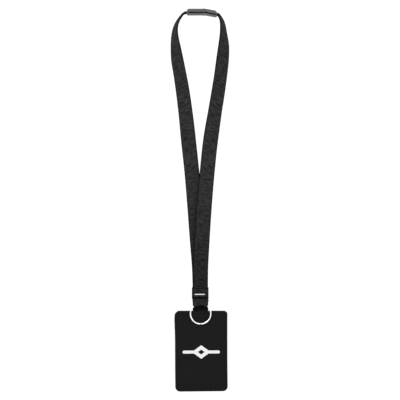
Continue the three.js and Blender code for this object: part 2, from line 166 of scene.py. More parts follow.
class Shader:
    """A node material, with short calls that add and link its nodes."""

    def __init__(self, name, values):
        self.material = bpy.data.materials.new(name)
        self.material.use_nodes = True
        self.tree = self.material.node_tree
        self.surface = self.tree.nodes["Principled BSDF"]
        self.fill(self.surface, values)

    def fill(self, node, values):
        for key, value in values.items():
            if isinstance(value, bpy.types.NodeSocket):
                self.tree.links.new(value, node.inputs[key])
            else:
                node.inputs[key].default_value = value

    def add(self, kind, values=(), **settings):
        node = self.tree.nodes.new(kind)
        for key, value in settings.items():
            setattr(node, key, value)
        self.fill(node, dict(values))
        return node

    def math(self, operation, *values):
        node = self.add("ShaderNodeMath", dict(enumerate(values)), operation=operation)
        return node.outputs[0]

    def wave(self, coordinate, pitch):
        """A smooth wave from 0 to 1, one crest every pitch millimetres."""
        turns = self.math("MULTIPLY", coordinate, 2 * math.pi / pitch)
        return self.math("MULTIPLY_ADD", self.math("SINE", turns), 0.5, 0.5)

    def blend(self, factor, first, second):
        """A colour between two, as the factor goes from 0 to 1. Sockets 0, 6 and 7 are the factor
        and the two colours of a colour mix."""
        node = self.add("ShaderNodeMix", {0: factor, 6: first, 7: second}, data_type="RGBA")
        return node.outputs[2]

    def noise(self, coordinate, scale, detail=2, contrast=1):
        """Noise about 0.5. A contrast over 1 spreads it further from there."""
        values = {"Vector": coordinate, "Scale": scale, "Detail": detail}
        cloud = self.add("ShaderNodeTexNoise", values).outputs["Fac"]
        if contrast == 1:
            return cloud
        return self.math("MULTIPLY_ADD", cloud, contrast, (1 - contrast) / 2)

    def weave_plane(self):
        """The across and along coordinates of a woven piece, in millimetres."""
        uv = self.add("ShaderNodeUVMap", uv_map="UVMap").outputs[0]
        split = self.add("ShaderNodeSeparateXYZ", {0: uv})
        return uv, split.outputs[0], split.outputs[1]

    def bump(self, height, distance, strength=1):
        values = {"Height": height, "Distance": distance, "Strength": strength}
        return self.add("ShaderNodeBump", values).outputs[0]


def grey(value, warmth=0):
    """A grey as linear colour, a little warmer or cooler."""
    return (value * (1 + warmth), value, value * (1 - warmth), 1)


def fabric_values(roughness, sheen, specular=0.07):
    return {
        "Roughness": roughness,
        "Specular IOR Level": specular,
        "Sheen Weight": sheen,
        "Sheen Roughness": 0.4,
    }


def webbing_material(name, base, selvedge_at=9.1, darkens=(1e6, 1e6)):
    """Twill webbing: broken diagonal ribs crossed by fine yarns and faint streaks, with a dark
    selvedge. It darkens over a stretch of its length, in millimetres from its start."""
    shader = Shader(name, fabric_values(0.82, 0.02, 0.02))
    uv, across, along = shader.weave_plane()
    diagonal = shader.math("MULTIPLY_ADD", along, 0.8, across)
    leaning = shader.math("MULTIPLY_ADD", across, 0.35, along)
    streaks = {
        0: shader.math("MULTIPLY", leaning, 0.42),
        1: shader.math("MULTIPLY", across, 0.14),
    }
    streak = shader.noise(shader.add("ShaderNodeCombineXYZ", streaks).outputs[0], 1, 2, 2)
    slip = shader.noise(uv, 0.25, 2, 1.4)
    rib = shader.wave(shader.math("ADD", diagonal, slip), 1.5)
    yarn = shader.wave(across, 0.5)
    pick = shader.wave(along, 0.62)
    weave = shader.math("MULTIPLY_ADD", yarn, 0.35, shader.math("MULTIPLY", rib, 0.65))
    edge = shader.math("GREATER_THAN", shader.math("ABSOLUTE", across), selvedge_at)
    height = shader.math("MULTIPLY", weave, shader.math("SUBTRACT", 1, edge))
    height = shader.math("ADD", height, shader.math("MULTIPLY", pick, edge))
    fuzz = shader.noise(uv, 2.6, 3, 2)
    broad = shader.noise(uv, 0.03, 1, 1.6)
    tone = shader.math("MULTIPLY", streak, shader.math("MULTIPLY_ADD", height, 1.0, 0.25))
    tone = shader.math("MULTIPLY_ADD", fuzz, 0.1, tone)
    tone = shader.math("MULTIPLY_ADD", broad, 0.1, tone)
    # The tone is up to 0.6 darker over the darkens stretch of the length. On the straps, this
    # stretch is their lower end.
    start, end = darkens
    lower_darkening = shader.add("ShaderNodeMapRange", {"Value": along, "From Min": start, "From Max": end})
    tone = shader.math("MULTIPLY", tone, shader.math("MULTIPLY_ADD", lower_darkening.outputs[0], -0.6, 1))
    tone = shader.math("MULTIPLY", tone, shader.math("MULTIPLY_ADD", edge, -0.8, 1))
    colour = shader.blend(tone, grey(base * 0.1), grey(base * 2))
    shader.fill(shader.surface, {"Base Color": colour, "Normal": shader.bump(height, 0.00016)})
    return shader.material


def plain_weave_material(name, base, pitch, depth, slub_scale=0.3, uneven=1, specular=0.07):
    """Plain weave: yarns over and under each other, with slubs, and more or less uneven in tone."""
    shader = Shader(name, fabric_values(0.85, 0.02, specular))
    uv, across, along = shader.weave_plane()
    warp = shader.wave(across, pitch)
    weft = shader.wave(along, pitch)
    height = shader.math("MAXIMUM", warp, weft)
    slub = shader.noise(uv, slub_scale, 3, uneven)
    broad = shader.noise(uv, 0.06, 2)
    tone = shader.math("MULTIPLY_ADD", height, 0.4, shader.math("MULTIPLY", slub, 0.4))
    tone = shader.math("MULTIPLY_ADD", broad, 0.2, tone)
    reach = min(0.95, 0.45 + 0.15 * uneven)
    colour = shader.blend(tone, grey(base * (1 - reach)), grey(base * (1 + reach)))
    shader.fill(shader.surface, {"Base Color": colour, "Normal": shader.bump(height, depth)})
    return shader.material


def grosgrain_material(name, base):
    """Binding tape: ribs across the tape's length."""
    shader = Shader(name, fabric_values(0.78, 0.02))
    uv, across, along = shader.weave_plane()
    rib = shader.wave(along, 0.75)
    yarn = shader.wave(across, 0.32)
    height = shader.math("MULTIPLY_ADD", yarn, 0.25, shader.math("MULTIPLY", rib, 0.75))
    slub = shader.noise(uv, 1.2, 3)
    tone = shader.math("MULTIPLY_ADD", height, 0.5, shader.math("MULTIPLY", slub, 0.4))
    colour = shader.blend(tone, grey(base * 0.6), grey(base * 1.5))
    shader.fill(shader.surface, {"Base Color": colour, "Normal": shader.bump(height, 0.00014)})
    return shader.material


def object_noise(shader, scale, detail=3):
    place = shader.add("ShaderNodeTexCoord").outputs["Object"]
    return shader.noise(place, scale, detail)


def moulded_material(name, base):
    """Moulded nylon with a spark-eroded texture, slightly uneven in tone and gloss."""
    values = {"Roughness": 0.5, "Specular IOR Level": 0.3}
    shader = Shader(name, values)
    grain = object_noise(shader, 2600, 2)
    cloud = object_noise(shader, 160, 3)
    colour = shader.blend(cloud, grey(base * 0.88), grey(base * 1.14))
    rough = shader.math("MULTIPLY_ADD", cloud, 0.25, 0.4)
    normal = shader.bump(grain, 0.00004)
    shader.fill(shader.surface, {"Base Color": colour, "Roughness": rough, "Normal": normal})
    return shader.material


def nickel_material(name):
    """Bright nickel plate with faint rolling marks and handling scratches."""
    shader = Shader(name, {"Metallic": 1, "Roughness": 0.16})
    cloud = object_noise(shader, 300, 4)
    marks = object_noise(shader, 2400, 2)
    colour = shader.blend(cloud, grey(0.84, 0.01), grey(0.94, 0.006))
    rough = shader.math("MULTIPLY_ADD", cloud, 0.16, 0.1)
    normal = shader.bump(marks, 0.00001)
    shader.fill(shader.surface, {"Base Color": colour, "Roughness": rough, "Normal": normal})
    return shader.material


def vinyl_material(name):
    """Clear soft vinyl with a faint haze and shallow ripples."""
    values = {"Roughness": 0.12, "IOR": 1.45, "Alpha": 0.06, "Base Color": (0.75, 0.79, 0.81, 1)}
    shader = Shader(name, values)
    ripple = object_noise(shader, 90, 2)
    haze = object_noise(shader, 900, 3)
    rough = shader.math("MULTIPLY_ADD", haze, 0.2, 0.06)
    normal = shader.bump(ripple, 0.0004)
    shader.fill(shader.surface, {"Roughness": rough, "Normal": normal})
    return shader.material


def board_material(name, base):
    """Pressed board with fine fibres."""
    shader = Shader(name, {"Roughness": 0.85, "Specular IOR Level": 0.15})
    fibre = object_noise(shader, 1800, 4)
    colour = shader.blend(fibre, grey(base * 0.75, 0.05), grey(base * 1.25, 0.05))
    shader.fill(shader.surface, {"Base Color": colour, "Normal": shader.bump(fibre, 0.00008)})
    return shader.material


def print_material(name, base):
    """A thick white print that picks up the weave below it."""
    shader = Shader(name, {"Roughness": 0.6, "Specular IOR Level": 0.25})
    uv, across, along = shader.weave_plane()
    warp = shader.wave(across, 0.55)
    weft = shader.wave(along, 0.55)
    height = shader.math("MAXIMUM", warp, weft)
    patch = shader.noise(uv, 0.9, 3)
    tone = shader.math("MULTIPLY_ADD", patch, 0.7, shader.math("MULTIPLY", height, 0.3))
    colour = shader.blend(tone, grey(base * 0.82), grey(base))
    shader.fill(shader.surface, {"Base Color": colour, "Normal": shader.bump(height, 0.00006)})
    return shader.material


def thread_material(name, base, sheen=0.05, specular=0.07):
    """Twisted polyester thread."""
    shader = Shader(name, fabric_values(0.6, sheen, specular))
    _, across, along = shader.weave_plane()
    twist = shader.wave(shader.math("ADD", across, along), 0.35)
    colour = shader.blend(twist, grey(base * 0.6), grey(base * 1.4))
    shader.fill(shader.surface, {"Base Color": colour, "Normal": shader.bump(twist, 0.00006)})
    return shader.material


def pale_material(name):
    shader = Shader(name, {"Roughness": 0.9, "Specular IOR Level": 0})
    cloud = object_noise(shader, 0.7, 2)
    colour = shader.blend(cloud, grey(0.93), grey(0.96))
    shader.fill(shader.surface, {"Base Color": colour})
    return shader.material


# ---- Mesh helpers ----

FRONT_TO_BACK = Vector((0, 1, 0))


def make_object(name, points, faces, material, uvs, sharp):
    """A piece from points in millimetres, facing outwards, with one uv pair for each point."""
    mesh = bpy.data.meshes.new(name)
    mesh.from_pydata([Vector(p) * MM for p in points], [], faces)
    layer = mesh.uv_layers.new(name="UVMap")
    for loop in mesh.loops:
        layer.data[loop.index].uv = uvs[loop.vertex_index]
    shape = bmesh.new()
    shape.from_mesh(mesh)
    bmesh.ops.recalc_face_normals(shape, faces=shape.faces)
    shape.to_mesh(mesh)
    shape.free()
    mesh.polygons.foreach_set("use_smooth", [True] * len(mesh.polygons))
    mesh.set_sharp_from_angle(angle=math.radians(sharp))
    mesh.materials.append(material)
    piece = bpy.data.objects.new(name, mesh)
    bpy.context.scene.collection.objects.link(piece)
    return piece


def skin(rows, closed=False):
    """Faces over rows of point numbers, each row a closed ring of the same count. The first and the
    last row are capped, or joined to each other where the rows close on themselves."""
    count = len(rows[0])
    pairs = list(zip(rows, rows[1:]))
    if closed:
        pairs.append((rows[-1], rows[0]))
    faces = []
    for near, far in pairs:
        for k in range(count):
            n = (k + 1) % count
            faces.append((near[k], near[n], far[n], far[k]))
    if not closed:
        faces.append(tuple(reversed(rows[0])))
        faces.append(tuple(rows[-1]))
    return faces


def loft(name, rings, uv_rings, material, closed=False, sharp=40):
    """A closed piece over rings of points."""
    count = len(rings[0])
    rows = [[i * count + k for k in range(count)] for i in range(len(rings))]
    points = [p for ring in rings for p in ring]
    uvs = [uv for ring in uv_rings for uv in ring]
    return make_object(name, points, skin(rows, closed), material, uvs, sharp)


def curve_point(values, t):
    """A point of the smooth curve through values, t from 0 to 1, as in the frame's own routes."""
    spans = len(values) - 1
    i = min(int(t * spans), spans - 1)
    u = t * spans - i
    b, c = values[i], values[i + 1]
    a = values[i - 1] if i > 0 else [2 * p - q for p, q in zip(b, c)]
    d = values[i + 2] if i + 2 <= spans else [2 * q - p for p, q in zip(b, c)]

    def part(p, q, r, s):
        slope0 = (r - p) / 2
        slope1 = (s - q) / 2
        cubic = 2 * q - 2 * r + slope0 + slope1
        square = -3 * q + 3 * r - 2 * slope0 - slope1
        return ((cubic * u + square) * u + slope0) * u + q

    return [part(*four) for four in zip(a, b, c, d)]


def webbing_section(width, thickness):
    """A webbing's cross section as (across, out) points, with round edges."""
    across_steps = 10
    edge_steps = 4
    half = thickness / 2
    flat = width / 2 - half
    section = []
    for i in range(across_steps + 1):
        section.append((-flat + 2 * flat * i / across_steps, -half))
    for i in range(1, edge_steps):
        angle = -math.pi / 2 + math.pi * i / edge_steps
        section.append((flat + half * math.cos(angle), half * math.sin(angle)))
    for i in range(across_steps + 1):
        section.append((flat - 2 * flat * i / across_steps, half))
    for i in range(1, edge_steps):
        angle = math.pi / 2 + math.pi * i / edge_steps
        section.append((-flat + half * math.cos(angle), half * math.sin(angle)))
    return section


def webbing(name, route, side, width, material, step=1.6):
    """Flat webbing along a route, as (piece, length). side is 1 where the inside is on +X."""
    fine = 40 * (len(route) - 1)
    centres = [Vector(curve_point(route, i / fine)[:3]) for i in range(fine + 1)]
    travelled = [0.0]
    for a, b in zip(centres, centres[1:]):
        travelled.append(travelled[-1] + (b - a).length)
    length = travelled[-1]
    count = round(length / step)
    rings = []
    uvs = []
    k = 0
    for i in range(count + 1):
        goal = length * i / count
        while k < fine - 1 and travelled[k + 1] < goal:
            k += 1
        t = (k + (goal - travelled[k]) / (travelled[k + 1] - travelled[k])) / fine
        t = min(max(t, 0), 1)
        centre = Vector(curve_point(route, t)[:3])
        ahead = Vector(curve_point(route, min(t + 1e-4, 1))[:3])
        behind = Vector(curve_point(route, max(t - 1e-4, 0))[:3])
        along = (ahead - behind).normalized()
        turn, thickness = curve_point(route, t)[3:]
        angle = math.radians(turn)
        inward = along.cross(FRONT_TO_BACK).normalized() * side
        across = inward * math.cos(angle) - FRONT_TO_BACK * math.sin(angle)
        out = along.cross(across)
        pick = 0.05 * math.sin(goal * 2 * math.pi / 3.2)
        section = webbing_section(width, thickness)
        ring = []
        for u, v in section:
            edge = pick if abs(u) > width / 2 - 1 else 0
            ring.append(centre + across * (u + math.copysign(edge, u)) + out * v)
        rings.append(ring)
        uvs.append([(u, goal) for u, v in section])
    return loft(name, rings, uvs, material), length


# ---- Straps ----

webbing_grey = webbing_material("strap_webbing", 0.0168, darkens=(270, 400))
loop_grey = webbing_material("loop_webbing", 0.015)
# The tab's webbing is darker than the straps, and its colour is darker still as painted shade for
# the shadow it hangs in behind the loop and the ring.
tab_webbing_painted_shade = webbing_material("tab_webbing", 0.0042)


def in_metres(route, steps_per_span=6):
    spans = (len(route) - 1) * steps_per_span
    points = [curve_point(route, i / spans)[:3] for i in range(spans + 1)]
    return [[value * MM for value in point] for point in points]


def strap(name, route, side, node):
    piece, length = webbing(name, route, side, WEB_WIDTH, webbing_grey)
    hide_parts(node)
    in_metres(route)
    return piece


left_strap = strap("left_strap", LEFT_ROUTE, 1, "neck_strap_left")
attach(left_strap, "strap_loop")
right_strap = strap("right_strap", RIGHT_ROUTE, -1, "neck_strap_right")
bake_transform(right_strap)

# ---- Clasp ----

clasp_grey = moulded_material("moulded_grey", 0.056)


def rounded_copy(node, material, round_by, bevel_from, smooth_to):
    """The frame's own solid with its sharp edges rounded, and uv pairs in millimetres for a weave.
    Edges that turn more than bevel_from degrees are rounded. Those that turn less than smooth_to
    shade smoothly."""
    piece = bpy.data.objects.new(f"{node}_rounded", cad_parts[node].data.copy())
    bpy.context.scene.collection.objects.link(piece)
    shape = bmesh.new()
    shape.from_mesh(piece.data)
    bmesh.ops.remove_doubles(shape, verts=shape.verts, dist=1e-6)
    bmesh.ops.dissolve_limit(
        shape, angle_limit=math.radians(1), verts=shape.verts, edges=shape.edges
    )
    shape.to_mesh(piece.data)
    shape.free()
    bevel = piece.modifiers.new("round", "BEVEL")
    bevel.width = round_by * MM
    bevel.segments = 3
    bevel.limit_method = "ANGLE"
    bevel.angle_limit = math.radians(bevel_from)
    bevel.harden_normals = True
    graph = bpy.context.evaluated_depsgraph_get()
    mesh = bpy.data.meshes.new_from_object(piece.evaluated_get(graph))
    piece.data = mesh
    piece.modifiers.clear()
    for layer in list(mesh.uv_layers):
        mesh.uv_layers.remove(layer)
    layer = mesh.uv_layers.new(name="UVMap")
    for loop in mesh.loops:
        place = mesh.vertices[loop.vertex_index].co / MM
        layer.data[loop.index].uv = (place.x, place.z)
    mesh.polygons.foreach_set("use_smooth", [True] * len(mesh.polygons))
    mesh.set_sharp_from_angle(angle=math.radians(smooth_to))
    mesh.materials.clear()
    mesh.materials.append(material)
    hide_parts(node)
    return piece


def clasp_shell(node):
    piece = rounded_copy(node, clasp_grey, 0.35, 25, 35)
    return piece


for node, body in (
    ("socket_base", "strap_loop"),
    ("socket_cover", "strap_loop"),
    ("plug_base", "clasp_plug"),
    ("plug_cover", "clasp_plug"),
):
    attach(clasp_shell(node), body)

# ---- Stitches ----


def stitch_row(name, path, out, material, length, pitch, width):
    """A row of separate thread stitches along path, each arched over the cloth and sunk at its
    ends. out is the direction that the cloth faces."""
    travelled = [0.0]
    for a, b in zip(path, path[1:]):
        travelled.append(travelled[-1] + (b - a).length)

    def at(distance):
        distance = min(max(distance, 0), travelled[-1])
        k = 0
        while k < len(path) - 2 and travelled[k + 1] < distance:
            k += 1
        share = (distance - travelled[k]) / (travelled[k + 1] - travelled[k])
        return path[k].lerp(path[k + 1], share)

    count = int((travelled[-1] - length) / pitch) + 1
    margin = (travelled[-1] - length - (count - 1) * pitch) / 2
    sides = 6
    rings = 7
    points = []
    faces = []
    uvs = []
    for i in range(count):
        start = margin + i * pitch
        rows = []
        for k in range(rings):
            share = k / (rings - 1)
            reached = start + share * length
            centre = at(reached)
            along = (at(reached + 0.05) - at(reached - 0.05)).normalized()
            across = along.cross(out).normalized()
            arch = math.sin(math.pi * share)
            radius = width / 2 * (0.55 + 0.45 * min(1, 2.4 * arch))
            centre = centre + out * (0.3 * arch - 0.18) * width
            row = []
            for s in range(sides):
                angle = 2 * math.pi * s / sides
                row.append(len(points))
                offset = across * math.cos(angle) + out * (math.sin(angle) * 0.75)
                points.append(centre + offset * radius)
                uvs.append((s * 0.25, reached))
            rows.append(row)
        faces += skin(rows)
    return make_object(name, points, faces, material, uvs, 60)


# ---- Label ----

label_black = plain_weave_material("label_weave", 0.0105, 0.42, 0.00007, 0.42, 6, 0)
woven_white = print_material("woven_white", 0.55)
# Black thread for the label's stitches; the same black, without sheen or gloss, also paints the
# shadow band under the label's mouth.
stitch_and_shadow_black = thread_material("thread_and_painted_shadow_black", 0.002, 0, 0)
LABEL_HOLES_Z = -364.4
LABEL_STITCH = {"length": 2.3, "pitch": 3.15, "width": 1.15}


def label_depth(x, z):
    """Half the label's depth: drawn in along the stitches, and fuller towards its mouth."""
    share = (LABEL["top"] - z) / (LABEL["top"] - LABEL["bottom"])
    low, high = LABEL_DEPTHS
    pucker = math.exp(-(((z - LABEL_HOLES_Z) / 0.8) ** 2))
    wave = 0.5 + 0.5 * math.cos(2 * math.pi * (x - LABEL["x"]) / LABEL_STITCH["pitch"])
    return low + (high - low) * share - 0.14 * pucker * (0.5 + 0.5 * wave)


def label_ring(z, inset):
    """A closed ring round the label at height z, as points and uv pairs."""
    half = LABEL["half_width"] - inset
    steps = 22
    corner = 1.1
    ring = []
    uvs = []
    flats = [-half + corner + (2 * (half - corner)) * i / steps for i in range(steps + 1)]
    for x in flats:
        depth = label_depth(LABEL["x"] + x, z) - inset
        ring.append(Vector((LABEL["x"] + x, -depth, z)))
        uvs.append((x, z))
    for i in range(1, 6):
        angle = -math.pi / 2 + math.pi * i / 6
        depth = label_depth(LABEL["x"] + half, z) - inset
        x = half - corner + corner * math.cos(angle)
        ring.append(Vector((LABEL["x"] + x, depth * math.sin(angle), z)))
        uvs.append((x, z))
    for x in reversed(flats):
        depth = label_depth(LABEL["x"] + x, z) - inset
        ring.append(Vector((LABEL["x"] + x, depth, z)))
        uvs.append((x, z))
    for i in range(1, 6):
        angle = math.pi / 2 + math.pi * i / 6
        depth = label_depth(LABEL["x"] - half, z) - inset
        x = -half + corner + corner * math.cos(angle)
        ring.append(Vector((LABEL["x"] + x, depth * math.sin(angle), z)))
        uvs.append((x, z))
    return ring, uvs


def label_sleeve():
    """The folded label: down the outside and back up the inside, with rounded lips."""
    wall = LABEL["wall"]
    height = LABEL["top"] - LABEL["bottom"]
    steps = 24
    stops = []
    for i in range(steps + 1):
        z = LABEL["top"] - 0.12 - (height - 0.24) * i / steps
        stops.append((z, 0))
    stops.append((LABEL["bottom"] + 0.03, 0.08))
    stops.append((LABEL["bottom"], wall / 2))
    stops.append((LABEL["bottom"] + 0.03, wall - 0.08))
    for i in range(steps + 1):
        z = LABEL["bottom"] + 0.12 + (height - 0.24) * i / steps
        stops.append((z, wall))
    stops.append((LABEL["top"] - 0.03, wall - 0.08))
    stops.append((LABEL["top"], wall / 2))
    stops.append((LABEL["top"] - 0.03, 0.08))
    rings = [label_ring(z, inset) for z, inset in stops]
    points = [ring for ring, _ in rings]
    uvs = [uv for _, uv in rings]
    piece = loft("folded_label", points, uvs, label_black, closed=True, sharp=70)
    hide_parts("joint_label")
    return piece


BAR_SECTION = [(-1, 0), (-0.85, 0.12), (0, 0.14), (0.85, 0.12), (1, 0), (0.5, -0.05), (-0.5, -0.05)]


def label_bar():
    """A plain bar woven on the label's face, with round ends. Its section is (up, proud)."""
    rings = []
    uvs = []
    steps = 28
    half, tall = LABEL_BAR["half_width"], LABEL_BAR["half_height"]
    for i in range(steps + 1):
        s = -1 + 2 * i / steps
        x = LABEL_BAR["x"] + s * half
        end = min(1, (half - abs(s * half)) / tall)
        reach = max(tall * math.sqrt(max(0, 1 - (1 - end) ** 2)), 0.03)
        ring = []
        for up, proud in BAR_SECTION:
            z = LABEL_BAR["z"] + up * reach
            ring.append(Vector((x, -label_depth(x, z) - proud * min(1, end + 0.2), z)))
        rings.append(ring)
        uvs.append([(p.x, p.z) for p in ring])
    piece = loft("woven_bar", rings, uvs, woven_white, sharp=60)
    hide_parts("label_mark")
    return piece


def label_stitches(front):
    side = -1 if front else 1
    half = LABEL["half_width"] - 1.2
    path = []
    for i in range(41):
        x = LABEL["x"] - half + 2 * half * i / 40
        path.append(Vector((x, side * label_depth(x, LABEL_HOLES_Z), LABEL_HOLES_Z)))
    name = "label_stitches_front" if front else "label_stitches_back"
    return stitch_row(name, path, side * FRONT_TO_BACK, stitch_and_shadow_black, **LABEL_STITCH)


def label_mouth_painted_shadow():
    """A black band round the label's mouth, shaped as an overlocked hem, that paints the shadow
    under the label's lip.
    """
    stops = [(-0.05, 0.3), (-0.1, -0.02), (0.2, -0.1), (1, -0.14), (1.7, -0.1), (1.9, 0.1)]
    rings = [label_ring(LABEL["bottom"] + rise, inset) for rise, inset in stops]
    points = [ring for ring, _ in rings]
    uvs = [[(x, z * 3) for x, z in uv] for _, uv in rings]
    piece = loft("label_mouth_painted_shadow", points, uvs, stitch_and_shadow_black, closed=True, sharp=70)
    return piece


label_pieces = [label_sleeve(), label_mouth_painted_shadow(), label_bar()]
label_pieces += [label_stitches(True), label_stitches(False)]
for piece in label_pieces:
    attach(piece, "strap_loop")

# ---- Split ring ----

nickel = nickel_material("bright_nickel")
RING_STEP_ANGLE = 26  # degrees over which the wire crosses from one turn to the other
RING_NOTCH_ANGLE = 271  # where the wire's ends lie, counted from +X towards +Z


def split_ring():
    """Two turns of flat wire wound as one coil. It crosses over at the bottom, by its two ends,
    where both turns are ground thinner."""
    low, high = RING["inner"], RING["outer"]
    middle = (low + high) / 2
    half_width = (high - low) / 2
    half_depth = RING["turn"] / 2
    corner = 0.3
    section = []
    for cx, cy, start in (
        (half_width - corner, half_depth - corner, 0),
        (-half_width + corner, half_depth - corner, 90),
        (-half_width + corner, -half_depth + corner, 180),
        (half_width - corner, -half_depth + corner, 270),
    ):
        for i in range(4):
            angle = math.radians(start + 30 * i)
            section.append((cx + corner * math.cos(angle), cy + corner * math.sin(angle)))
    shift = half_depth + RING["gap"] / 2
    first = RING_NOTCH_ANGLE + 1.5
    sweep = 720 - RING_STEP_ANGLE - 3
    steps = 300
    rings = []
    uvs = []
    for i in range(steps + 1):
        share = i / steps
        turned = sweep * share
        crossing = (turned - (360 - RING_STEP_ANGLE)) / RING_STEP_ANGLE
        crossing = min(max(crossing, 0), 1)
        side = crossing * crossing * (3 - 2 * crossing)
        y = RING["y"] - shift + 2 * shift * side
        angle = math.radians(first + turned)
        outward = Vector((math.cos(angle), 0, math.sin(angle)))
        centre = Vector((RING["x"], y, RING["z"]))
        from_notch = (first + turned - RING_NOTCH_ANGLE + 180) % 360 - 180
        taper = 1 - 0.6 * math.exp(-((from_notch / 5.5) ** 2))
        ring = []
        for u, v in section:
            ring.append(centre + outward * (middle + u * taper) + FRONT_TO_BACK * (v * taper))
        rings.append(ring)
        uvs.append([(u, turned * 0.24) for u, v in section])
    piece = loft("split_ring_coil", rings, uvs, nickel, sharp=50)
    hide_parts("split_ring")
    return piece


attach(split_ring(), "ring")

# ---- Webbing loop ----


def loop_path(middle_z, steps):
    """The webbing's middle from the top of its rolled head, down the back, round under the ring and
    up the front to the head again. Points are (y, z), evenly spaced by parameter."""
    top_y, top_z = LOOP_TOP
    reach = LOOP_HALF_DEPTH + WEB_THICKNESS / 2
    lay = WEB_THICKNESS / 2 + 0.03
    back = []
    front = []
    for angle in (90, 60, 30, 0):
        turn = math.radians(angle)
        back.append((top_y + lay * math.cos(turn), top_z + lay * math.sin(turn)))
        front.insert(0, (top_y - lay * math.cos(turn), top_z + lay * math.sin(turn)))
    back.append((top_y + lay, top_z - 0.9))
    front.insert(0, (top_y - lay, top_z - 0.9))
    fold = []
    for angle in range(20, -201, -20):
        turn = math.radians(angle)
        fold.append((RING["y"] + reach * math.cos(turn), middle_z + reach * math.sin(turn)))
    corners = back + fold + front
    return [curve_point(corners, i / steps) for i in range(steps + 1)]


def loop_webbing():
    """The folded loop. Its fold arches with the ring's inner edge, so each strip of it differs."""
    stations = 24
    steps = 76
    top_z = LOOP_TOP[1]
    top_half, low_half = LOOP_HALF_WIDTHS
    columns = []
    for i in range(stations + 1):
        share = 2 * i / stations - 1
        aside = HANG_X + share * low_half - RING["x"]
        arch = math.sqrt(RING["inner"] ** 2 - aside**2)
        middle_z = RING["z"] + arch - LOOP_CLEAR + LOOP_HALF_DEPTH
        path = loop_path(middle_z, steps)
        column = []
        travelled = 0
        for k, (y, z) in enumerate(path):
            before = path[max(k - 1, 0)]
            after = path[min(k + 1, steps)]
            travelled += math.dist(before, (y, z)) if k else 0
            run = math.dist(before, after)
            normal = ((after[1] - before[1]) / run, -(after[0] - before[0]) / run)
            drop = min(max((top_z - z) / (top_z - middle_z), 0), 1)
            half = low_half + (top_half - low_half) * (1 - drop) ** 1.5
            column.append((share, half, y, z, normal, travelled))
        columns.append(column)
    rings = []
    uvs = []
    for k in range(steps):
        outer = []
        inner = []
        for i in range(stations + 1):
            share, half, y, z, (ny, nz), travelled = columns[i][k]
            edge = min(1, (1 - abs(share)) * half / 0.5)
            thick = WEB_THICKNESS / 2 * (0.45 + 0.55 * math.sqrt(edge))
            x = HANG_X + share * half
            outer.append((Vector((x, y + ny * thick, z + nz * thick)), (share * 10, travelled)))
            inner.append((Vector((x, y - ny * thick, z - nz * thick)), (share * 10, travelled)))
        ring = outer + inner[::-1]
        rings.append([p for p, _ in ring])
        uvs.append([uv for _, uv in ring])
    piece = loft("ring_loop_webbing", rings, uvs, loop_grey, closed=True, sharp=60)
    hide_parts("ring_loop")
    return piece


def loop_root(name, y):
    """One of the two layers of webbing that come out of the label and end in the loop's head."""
    route = [
        (HANG_X, y + 0.12, -377.2, 0, 1),
        (HANG_X, y + 0.1, -378.2, 0, 1),
        (HANG_X, y, -379.4, 0, 1),
        (HANG_X, y, LOOP_TOP[1] + 0.35, 0, 1),
    ]
    piece, _ = webbing(name, route, 1, 21.3, loop_grey, 0.6)
    return piece


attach(loop_webbing(), "ring_carrier")
for name, side in (("loop_root_front", -1), ("loop_root_back", 1)):
    root = loop_root(name, LOOP_TOP[0] + side * 0.51)
    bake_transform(root)

# ---- Tab ----

# The tab's dark material holds painted shade.
tab, _ = webbing("tab_webbing_strip", TAB_ROUTE, -1, TAB_WIDTH, tab_webbing_painted_shade)
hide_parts("holder_tab")
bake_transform(tab)

# ---- Badge holder ----

holder_black = plain_weave_material("holder_weave", 0.0045, 0.62, 0.00009, 0.5, 1.6)
binding_black = grosgrain_material("binding_tape", 0.004)
lining_black = plain_weave_material("lining_weave", 0.006, 0.4, 0.00004)
board_grey = board_material("pressed_board", 0.09)
clear_vinyl = vinyl_material("clear_vinyl")
print_white = print_material("white_print", 0.55)
HOLDER_STITCH = {"length": 2, "pitch": 2.8, "width": 0.42}
WINDOW_STITCH = {"length": 2, "pitch": 2.8, "width": 0.4}


def arc(centre, radius, start, end, steps):
    """Points with their inward directions round part of a circle, angles in degrees."""
    found = []
    for i in range(steps + 1):
        angle = math.radians(start + (end - start) * i / steps)
        away = Vector((math.cos(angle), 0, math.sin(angle)))
        found.append((Vector((centre[0], 0, centre[1])) + away * radius, -away))
    return found


def straight(first, last, inward, step):
    count = max(1, round((last - first).length / step))
    return [(first.lerp(last, i / count), inward) for i in range(1, count)]


def corner_arcs(half, top, bottom, top_radius, low_radius, top_steps, low_steps):
    """The round corners of an upright outline, from the top left one round the bottom."""
    r, q = top_radius, low_radius
    return [
        arc((-half + r, top - r), r, 90, 180, top_steps),
        arc((-half + q, bottom + q), q, 180, 270, low_steps),
        arc((half - q, bottom + q), q, 270, 360, low_steps),
        arc((half - r, top - r), r, 0, 90, top_steps),
    ]


def closed_outline(corners, step):
    """Corners joined by straight runs into one closed list of places."""
    outline = []
    for corner, following in zip(corners, corners[1:] + corners[:1]):
        outline += [place for place, _ in corner]
        outline += [place for place, _ in straight(corner[-1][0], following[0][0], None, step)]
    return outline


def rim():
    """The holder's outline from the mouth's left end round the bottom to its right end, as points
    with their inward directions."""
    radii = HOLDER["top_radius"], HOLDER["bottom_radius"]
    corners = corner_arcs(HOLDER["half_width"], HOLDER["top"], HOLDER["bottom"], *radii, 7, 8)
    right = Vector((1, 0, 0))
    up = Vector((0, 0, 1))
    stations = corners[0]
    for corner, following, inward in zip(corners, corners[1:], (right, up, -right)):
        stations = stations + straight(corner[-1][0], following[0][0], inward, 2) + following
    return stations


